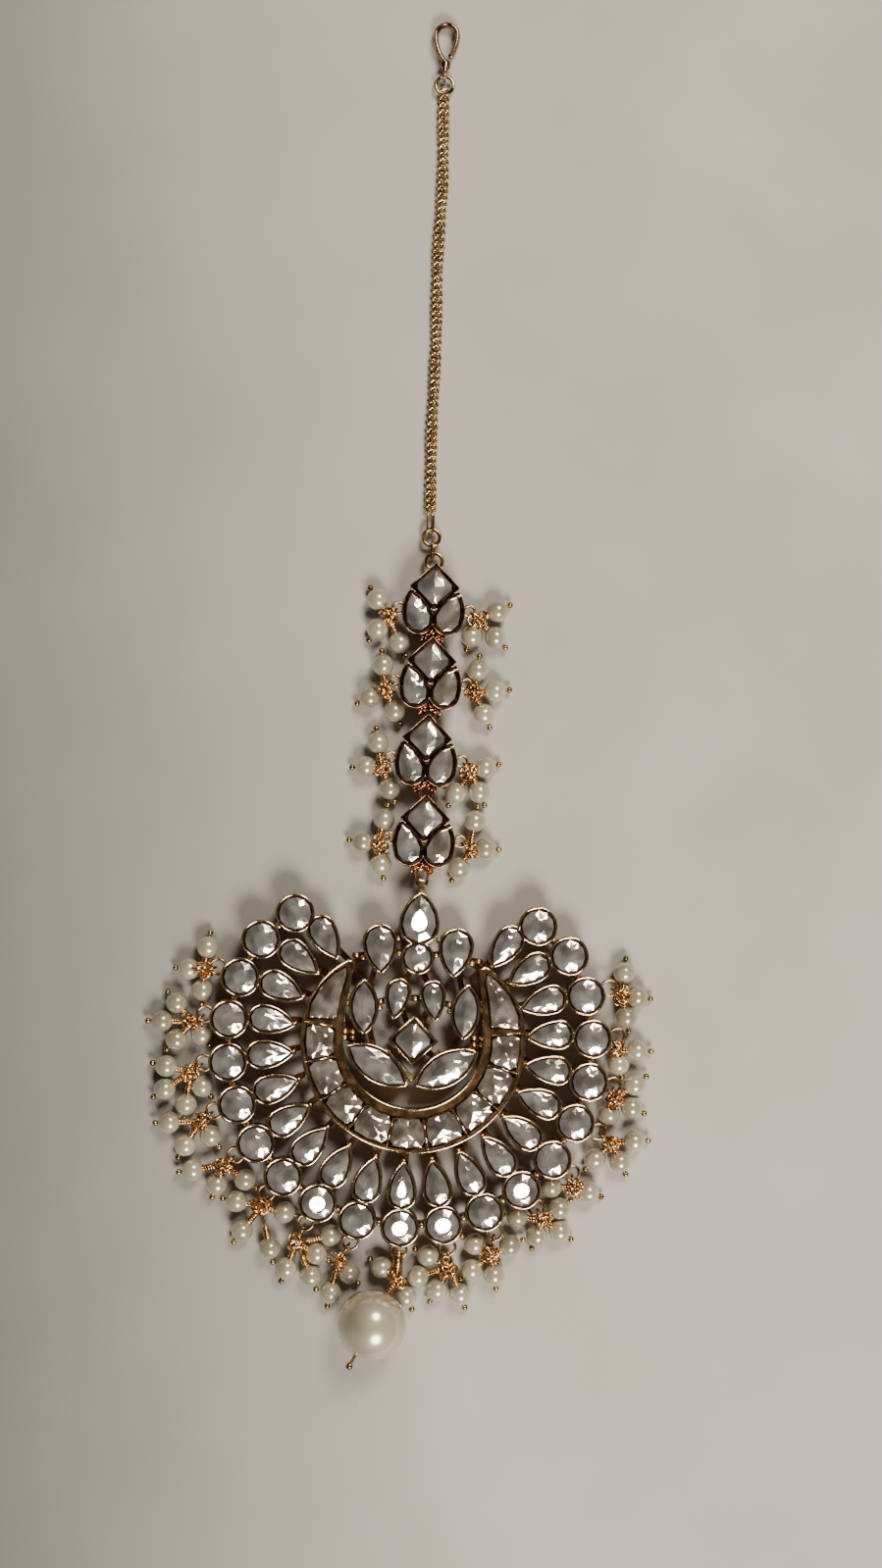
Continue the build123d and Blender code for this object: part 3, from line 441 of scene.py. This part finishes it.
def channel_wires():
    """Bright wire along each bar between two stones of the crescent."""
    bm = bmesh.new()
    for turn in [side * radians(t) for t in CRESCENT_BARS for side in (1, -1)]:
        wire = bmesh.new()
        bmesh.ops.create_cone(wire, cap_ends=True, segments=8, radius1=CHANNEL_WIRE_R * MM,
                              radius2=CHANNEL_WIRE_R * MM, depth=CHANNEL_WIRE_LENGTH * MM)
        line = Vector((sin(turn), -cos(turn), 0.0))
        join(bm, wire, along(at(0, 0, RIM_TOP + TRIM_PROUD) + line * CHANNEL_REACH * MM, line))
    piece("channel_wires", bm, RIM_GOLD)


collet_trim("pendant_frame", "pendant", 0.36, 0.17, RIM_GOLD)
channel_wires()
for link in LINKS:
    collet_trim(f"{link}_frame", link, 0.5, 0.11, AGED_EDGE)


# ------------------------------------------------------------------ metal and pearls that keep their shape
def finish_of(name):
    """Finish of a node that no piece replaces."""
    if "pearl" in name:
        return PEARL
    if name.endswith("_frame"):
        return DARK_PAINTED_GOLD if name.startswith("link_") else ROSE_GOLD
    if name.startswith("link_ring_"):
        return COPPER_GOLD
    return AGED_EDGE if name == "hair_hook" else PALE_GOLD


for name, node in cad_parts.items():
    if not name.endswith(("stone", "stones")) and name != "chain":
        node.data.materials.clear()
        node.data.materials.append(finish_of(name))

# ------------------------------------------------------------------ wrapped wire
PEARL_R = 1.5
HEAD_R, HEAD_REACH = 0.42, 2.0          # ball end of a pin, and its distance from the middle of its pearl
LONGEST_PIN = 9                         # from its knot to the middle of its pearl
LOOP_STEP, LOOP_REACH = 13.6, 28.2      # loops on the rim: turn from one to the next, and reach from FAN
SIDE_LOOP = (4.85, -2.9)                # side loop of a link, from the middle of its square
# Bunches on the rim: number of the loop it hangs in, heading of its knot and the knot's reach.
RIM_KNOTS = (
    (-8, 198, 2.0), (-7, 215, 2.0), (-6, 217, 2.2), (-5, 219, 2.4), (-4, 225, 2.0), (-3, 251, 2.0),
    (-2, 250, 3.0), (-1, 240, 3.0), (1, 280, 2.7), (2, 264, 3.0), (3, 300, 2.0), (4, 285, 2.0),
    (5, 325, 2.4), (6, 278, 2.0), (7, 265, 1.9), (8, 335, 2.0))
CENTRE_KNOT = (-0.5, -32.6)             # knot that the drop hangs by
# Bunches on the links: number of the link from the top, side and heading.
LINK_KNOTS = ((0, -1, 222), (0, 1, -40), (1, -1, 225), (1, 1, -45), (2, -1, 225), (2, 1, -45),
              (3, -1, 215), (3, 1, -35))
LINK_KNOT_REACH = 1.75                  # from the side loop to the knot

WRAP_R, WRAP_PITCH = 0.36, 0.36         # wire wrapped round a pin's neck
WRAP_TURNS = (1.5, 4.5)                 # fewest and most turns of it
NECK_START = 0.4                        # bare neck left at the knot
WIRE = 0.17                             # half thickness of the wrapping wire
PIN_EYE_AT, PIN_EYE_R = 0.45, (0.65, 0.9)       # eye that a pin hangs by: way from the knot, and radius
TANGLE, TANGLE_R = 7, (0.6, 0.9)        # eyes of wire in each knot, and their radius
TANGLE_BOX = ((-0.8, 0.8), (-0.8, 0.8), (-0.4, 0.7))    # how far from the knot they lie

COIL_STEPS = (-1.3, -0.95, -0.6, -0.3, 0.0, 0.3, 0.6, 0.95, 1.3)    # coils side by side under a link
COIL_Y, COIL_Z = -6.05, 3.2             # their place from the middle of the link's square, and their height
COIL_SAG = 0.7                          # they sag by this much for each millimetre from the middle
COIL_UNEVEN, COIL_TURN = 0.12, (0.6, 0.4)       # most that a coil strays, and that its axis turns in Y and Z
COIL_R, COIL_WIRE = (0.45, 0.6), 0.16
COIL_SEED = 7
NECK_R, NECK_TURNS = 0.42, 6            # wire wrapped round the drop's neck
TAIL_R, TAIL_TURNS = 0.62, 9            # and from its knot up to the rim's bottom loop
DROP_PITCH = 0.4
BAR_R, BAR_LENGTH, BAR_ROUNDING = 0.19, 2.1, 0.07       # burnished bars of the links
BAR_AT, BAR_LINE = (2.75, -1.35, 4.38), (2.0, 0.8, 0.0)
TOP_RING_Y, TOP_RING_Z = -7.7, 2.3      # ring under the last link, from the middle of its square
TOP_RING_R, TOP_RING_WIRE, TOP_RING_AXIS = 0.8, 0.2, (0.1, 0.1, 1.0)


def ahead(x, y, heading, reach):
    return at(x + reach * cos(radians(heading)), y + reach * sin(radians(heading)), LOOP_Z)


def rim_loop(k):
    t = radians(k * LOOP_STEP)
    return FAN[0] + LOOP_REACH * sin(t), FAN[1] - LOOP_REACH * cos(t)


def islands(name):
    """Middle of each loose solid of a node, in order of their places."""
    bm = merged_copy(name)
    left = set(bm.verts)
    middles = []
    while left:
        front = [left.pop()]
        low, high = front[0].co.copy(), front[0].co.copy()
        while front:
            v = front.pop()
            low = Vector(map(min, low, v.co))
            high = Vector(map(max, high, v.co))
            for e in v.link_edges:
                other = e.other_vert(v)
                if other in left:
                    left.remove(other)
                    front.append(other)
        middles.append((low + high) / 2)
    bm.free()
    return sorted(middles, key=tuple)


def strung(pearl_nodes, pin_nodes, knots):
    """Pairs of knot and pearl: the ball end beyond a pearl shows which knot its pin comes from."""
    pins = [v.co for name in pin_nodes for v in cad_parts[name].data.vertices]
    points = kdtree.KDTree(len(pins))
    for i, co in enumerate(pins):
        points.insert(co, i)
    points.balance()
    pairs = []
    for pearl in (p for name in pearl_nodes for p in islands(name)):
        def on_ball(knot):
            head = pearl + (pearl - knot).normalized() * HEAD_REACH * MM
            near = points.find_range(head, (HEAD_R + NEAR) * MM)
            return sum(1 for _, _, gap in near if gap > (HEAD_R - NEAR) * MM)
        within = [k for k in knots if (k - pearl).length < LONGEST_PIN * MM]
        pairs.append((max(within, key=on_ball), pearl))
    return pairs


def wire_section(radius, wire):
    """New bmesh holding a wire's section on the X axis, ready to be spun about Z."""
    bm = bmesh.new()
    made = bmesh.ops.create_circle(bm, segments=6, radius=wire * MM)
    bmesh.ops.rotate(bm, verts=made["verts"], cent=(0, 0, 0), matrix=Matrix.Rotation(pi / 2, 3, "X"))
    bmesh.ops.translate(bm, verts=made["verts"], vec=(radius * MM, 0, 0))
    return bm


def wound(whole, place, radius, wire, turns, pitch):
    """Helix of wire along local Z, its ends closed."""
    bm = wire_section(radius, wire)
    total = max(2, round(11 * turns))
    start = bm.edges[:]
    spun = bmesh.ops.spin(bm, geom=bm.verts[:] + start, cent=(0, 0, 0), axis=(0, 0, 1), angle=2 * pi * turns,
                          steps=total, dvec=(0, 0, pitch * MM * turns / total))
    bmesh.ops.contextual_create(bm, geom=start)
    bmesh.ops.contextual_create(bm, geom=[g for g in spun["geom_last"] if isinstance(g, bmesh.types.BMEdge)])
    join(whole, bm, place)


def eye(whole, place, radius, wire, steps=14, stretch=0.0, twist=0.0):
    """Closed loop of wire round local Z, drawn out along Y and twisted about it if asked."""
    bm = wire_section(radius, wire)
    bmesh.ops.spin(bm, geom=bm.verts[:] + bm.edges[:], cent=(0, 0, 0), axis=(0, 0, 1), angle=2 * pi,
                   steps=steps, use_merge=True)
    for side in (1, -1):
        half = [v for v in bm.verts if v.co.y * side > 0]
        bmesh.ops.translate(bm, verts=half, vec=(0, side * stretch * MM, 0))
    for v in bm.verts:
        v.co.rotate(Matrix.Rotation(radians(twist) * max(-1.0, min(1.0, v.co.y / (radius * MM))), 3, "Y"))
    join(whole, bm, place)


def any_way(hand, upright=1.0):
    return Vector((hand.uniform(-1, 1), hand.uniform(-1, 1), hand.uniform(-upright, upright))).normalized()


def wraps(name, pairs, knots):
    """Every pin's wrapped neck, the eye it hangs by, and the tangle round each knot."""
    hand = random.Random(name)
    bm = bmesh.new()
    for knot, pearl in pairs:
        line = (pearl - knot).normalized()
        free = (pearl - knot).length / MM - PEARL_R
        turns = min(WRAP_TURNS[1], max(WRAP_TURNS[0], (free - NECK_START) / WRAP_PITCH))
        foot = knot + line * (free - turns * WRAP_PITCH) * MM
        wound(bm, along(foot, line), WRAP_R, WIRE, turns, WRAP_PITCH)
        eye(bm, along(knot + line * PIN_EYE_AT * MM, line.cross(any_way(hand)).normalized()),
            hand.uniform(*PIN_EYE_R), WIRE)
    for knot in knots:
        for _ in range(TANGLE):
            shift = Vector([hand.uniform(low, high) for low, high in TANGLE_BOX]) * MM
            eye(bm, along(knot + shift, any_way(hand, 0.9)), hand.uniform(*TANGLE_R), WIRE, 12)
    piece(name, bm, COPPER_GOLD)


def coiled_joints():
    """Coils of copper side by side round each joint between two links, sagging at both sides."""
    hand = random.Random(COIL_SEED)
    bm = bmesh.new()
    for x, y in LINK_SPOTS:
        for step in COIL_STEPS:
            sag = COIL_SAG * abs(step)
            spot = at(x + step, y + COIL_Y - sag + hand.uniform(-COIL_UNEVEN, COIL_UNEVEN), COIL_Z)
            axis = Vector([1] + [hand.uniform(-most, most) for most in COIL_TURN])
            eye(bm, along(spot, axis), hand.uniform(*COIL_R), COIL_WIRE)
    piece("coiled_joints", bm, COPPER)


def drop_neck(knot):
    """Long wrapped neck of the drop pearl, and the coil between its knot and the bottom loop of the rim."""
    bm = bmesh.new()
    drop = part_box("drop_pearl")
    neck = (Vector(drop[0]) + Vector(drop[1])) / 2 - knot
    wound(bm, along(knot, neck), NECK_R, WIRE, NECK_TURNS, DROP_PITCH)
    loop = at(*rim_loop(0), LOOP_Z)
    wound(bm, along(loop, knot - loop), TAIL_R, WIRE, TAIL_TURNS, DROP_PITCH)
    piece("drop_neck", bm, COPPER_GOLD)


def burnished_bars():
    """Bar from each link's square to the tip of its right pear, and a ring between last link and pendant."""
    bm = bmesh.new()
    for x, y in LINK_SPOTS:
        bar = bmesh.new()
        bmesh.ops.create_cone(bar, cap_ends=True, segments=10, radius1=BAR_R * MM, radius2=BAR_R * MM,
                              depth=BAR_LENGTH * MM)
        ends = [e for e in bar.edges if abs(e.verts[0].co.z - e.verts[1].co.z) < 0.1 * MM]
        bmesh.ops.bevel(bar, geom=ends, offset=BAR_ROUNDING * MM, segments=2, profile=0.5, affect="EDGES",
                        material=-1)
        join(bm, bar, along(at(x + BAR_AT[0], y + BAR_AT[1], BAR_AT[2]), Vector(BAR_LINE)))
    x, y = LINK_SPOTS[-1]
    eye(bm, along(at(x, y + TOP_RING_Y, TOP_RING_Z), Vector(TOP_RING_AXIS)), TOP_RING_R, TOP_RING_WIRE, 20)
    piece("burnished_bars", bm, RIM_GOLD)


rim_knots = [ahead(*rim_loop(k), heading, reach) for k, heading, reach in RIM_KNOTS]
rim_knots.append(at(*CENTRE_KNOT, LOOP_Z))
wraps("rim_wrapped_wires", strung(["rim_pearls_left", "rim_pearls_right", "drop_small_pearls"],
                                  ["rim_pins_left", "rim_pins_right", "drop_pin"], rim_knots), rim_knots)
link_knots = [ahead(LINK_SPOTS[i][0] + side * SIDE_LOOP[0], LINK_SPOTS[i][1] + SIDE_LOOP[1], heading,
                    LINK_KNOT_REACH) for i, side, heading in LINK_KNOTS]
wraps("link_wrapped_wires", strung(["link_pearls"], ["link_pins"], link_knots), link_knots)
coiled_joints()
drop_neck(rim_knots[-1])
burnished_bars()

# ------------------------------------------------------------------ chain
# The corners of its plain bar; the eyes at both ends of the bar are links here too.
CHAIN_ROUTE = ((-1.6, 72.3), (-2.0, 83.0), (-2.0, 94.5), (-2.45, 106.0), (-2.3, 117.5), (-2.83, 129.3))
CHAIN_Z = 0.78          # height of the middle of the chain
LINK_STEP = 0.95        # from one link to the next
LINK_R, LINK_WIRE = 0.66, 0.22
LINK_STRETCH, LINK_TWIST = 0.06, 45
CHAIN_LEAN = -20        # the whole chain leans this far about its length
CHAIN_ROLL = 16         # and rolls this far to either side of that
ROLL_WAVE = 0.7         # radians of that roll's wave from one link to the next
UNEVEN = 4              # spread of the links' own turns
CHAIN_SEED = 3


def curb_chain():
    """Close curb chain of twisted links."""
    corners = [Vector(c) for c in CHAIN_ROUTE]
    lengths = [(b - a).length for a, b in zip(corners, corners[1:])]
    count = round(sum(lengths) / LINK_STEP)
    hand = random.Random(CHAIN_SEED)
    bm = bmesh.new()
    for i in range(count + 1):
        run = sum(lengths) * i / count
        leg = 0
        while leg < len(lengths) - 1 and run > lengths[leg]:
            run -= lengths[leg]
            leg += 1
        a, b = corners[leg], corners[leg + 1]
        spot = a.lerp(b, min(1.0, run / lengths[leg]))
        heading = (b - a).to_3d().normalized()
        turn = radians(CHAIN_LEAN + CHAIN_ROLL * sin(i * ROLL_WAVE) + hand.gauss(0, UNEVEN))
        aim = Vector((0, 1, 0)).rotation_difference(heading).to_matrix().to_4x4()
        lie = Matrix.Translation(at(spot.x, spot.y, CHAIN_Z)) @ aim @ Matrix.Rotation(turn, 4, "Y")
        eye(bm, lie, LINK_R, LINK_WIRE, steps=16, stretch=LINK_STRETCH, twist=LINK_TWIST)
    piece("curb_chain", bm, CHAIN_GOLD, ["chain"])


curb_chain()

# ------------------------------------------------------------------ desk, light and camera
VIEW = at(1.89, 35.0)   # what the camera and the lamps look at
DESK_HALF = 0.6         # half the side of the desk, in metres
MOTTLE = 25             # size of the desk's mottle
SLANT = 0.16            # the shade's edge leans to the left by this share of the way up
SHADE_FROM, SHADE_TO = -75, -5      # full shade and full light, counted from VIEW to the right
DEEPEST_SHADE = 0.38

# Pale grey-beige laminate: matt with a faint mottle, with painted shade falling off gently towards its lower
# left.
DESK, tree, shader, place = finish_named("grey_beige_laminate")
mottle = add(tree, "ShaderNodeTexNoise", {"Vector": place, "Scale": 1 / (MOTTLE * MM), "Detail": 2.0})
laminate = add(tree, "ShaderNodeValToRGB", {"Fac": mottle.outputs["Fac"]},
               ((0.3, "#ABA8A1"), (0.7, "#B4B1AB")))
across = add(tree, "ShaderNodeVectorMath", {0: place, 1: (1.0, SLANT, 0.0)}, operation="DOT_PRODUCT")
middle = VIEW.x + SLANT * VIEW.y
# painted shade: the laminate's colour is scaled down towards the lower left
shade = add(tree, "ShaderNodeMapRange", {
    "Value": across.outputs["Value"], "From Min": middle + SHADE_FROM * MM,
    "From Max": middle + SHADE_TO * MM, "To Min": DEEPEST_SHADE, "To Max": 1.0})
shaded = add(tree, "ShaderNodeVectorMath", {0: laminate.outputs["Color"], "Scale": shade.outputs["Result"]},
             operation="SCALE")
feed(tree, shader, {"Base Color": shaded.outputs["Vector"], "Roughness": 0.55, "Specular IOR Level": 0.3})
bm = bmesh.new()
bmesh.ops.create_grid(bm, x_segments=2, y_segments=2, size=DESK_HALF)
desk_mesh = bpy.data.meshes.new("desk")
bm.to_mesh(desk_mesh)
bm.free()
desk_mesh.materials.append(DESK)
desk = bpy.data.objects.new("desk", desk_mesh)
bpy.context.scene.collection.objects.link(desk)


def lamp(name, direction, distance, size, power, tint):
    """Round soft light that looks at VIEW; distance and size in metres, power in watts."""
    data = bpy.data.lights.new(name, "AREA")
    data.shape = "DISK"
    data.size = size
    data.energy = power
    data.color = colour(tint)[:3]
    made = bpy.data.objects.new(name, data)
    bpy.context.scene.collection.objects.link(made)
    line = Vector(direction).normalized()
    made.location = VIEW + line * distance
    made.rotation_euler = line.to_track_quat("Z", "Y").to_euler()


lamp("near_lamp", (0.26, -0.65, 0.72), 0.6, 0.25, 4.9, "#FFF6EA")
lamp("far_lamp", (0.26, 0.57, 0.78), 0.6, 0.22, 3.4, "#FFF3E4")

# The room: dark straight above, where whoever looks at the jewel stands, and pale towards its walls.
world = bpy.data.worlds.new("room")
bpy.context.scene.world = world
world.use_nodes = True
room = world.node_tree
upward = add(room, "ShaderNodeSeparateXYZ", {"Vector": add(room, "ShaderNodeTexCoord").outputs["Generated"]})
walls = add(room, "ShaderNodeValToRGB", {"Fac": upward.outputs["Z"]}, (
    (0.1, "#B5AFA5"), (0.6, "#7C7872"), (0.87, "#23211F"), (1.0, "#918C84")))
feed(room, room.nodes["Background"], {"Color": walls.outputs["Color"], "Strength": 0.32})

CAMERA_HEIGHT = 0.3     # metres above the desk
VIEW_LONG, VIEW_Z = 213.2, 3        # long side of what the camera takes in, and at which height
CAMERA_ROLL = 3.13
SENSOR = 36.0
data = bpy.data.cameras.new("camera")
data.sensor_fit = "AUTO"
data.sensor_width = SENSOR
data.lens = SENSOR * (CAMERA_HEIGHT - VIEW_Z * MM) / (VIEW_LONG * MM)
camera = bpy.data.objects.new("camera", data)
camera.location = VIEW + Vector((0, 0, CAMERA_HEIGHT))
camera.rotation_euler = (0, 0, radians(CAMERA_ROLL))
bpy.context.scene.collection.objects.link(camera)
bpy.context.scene.camera = camera
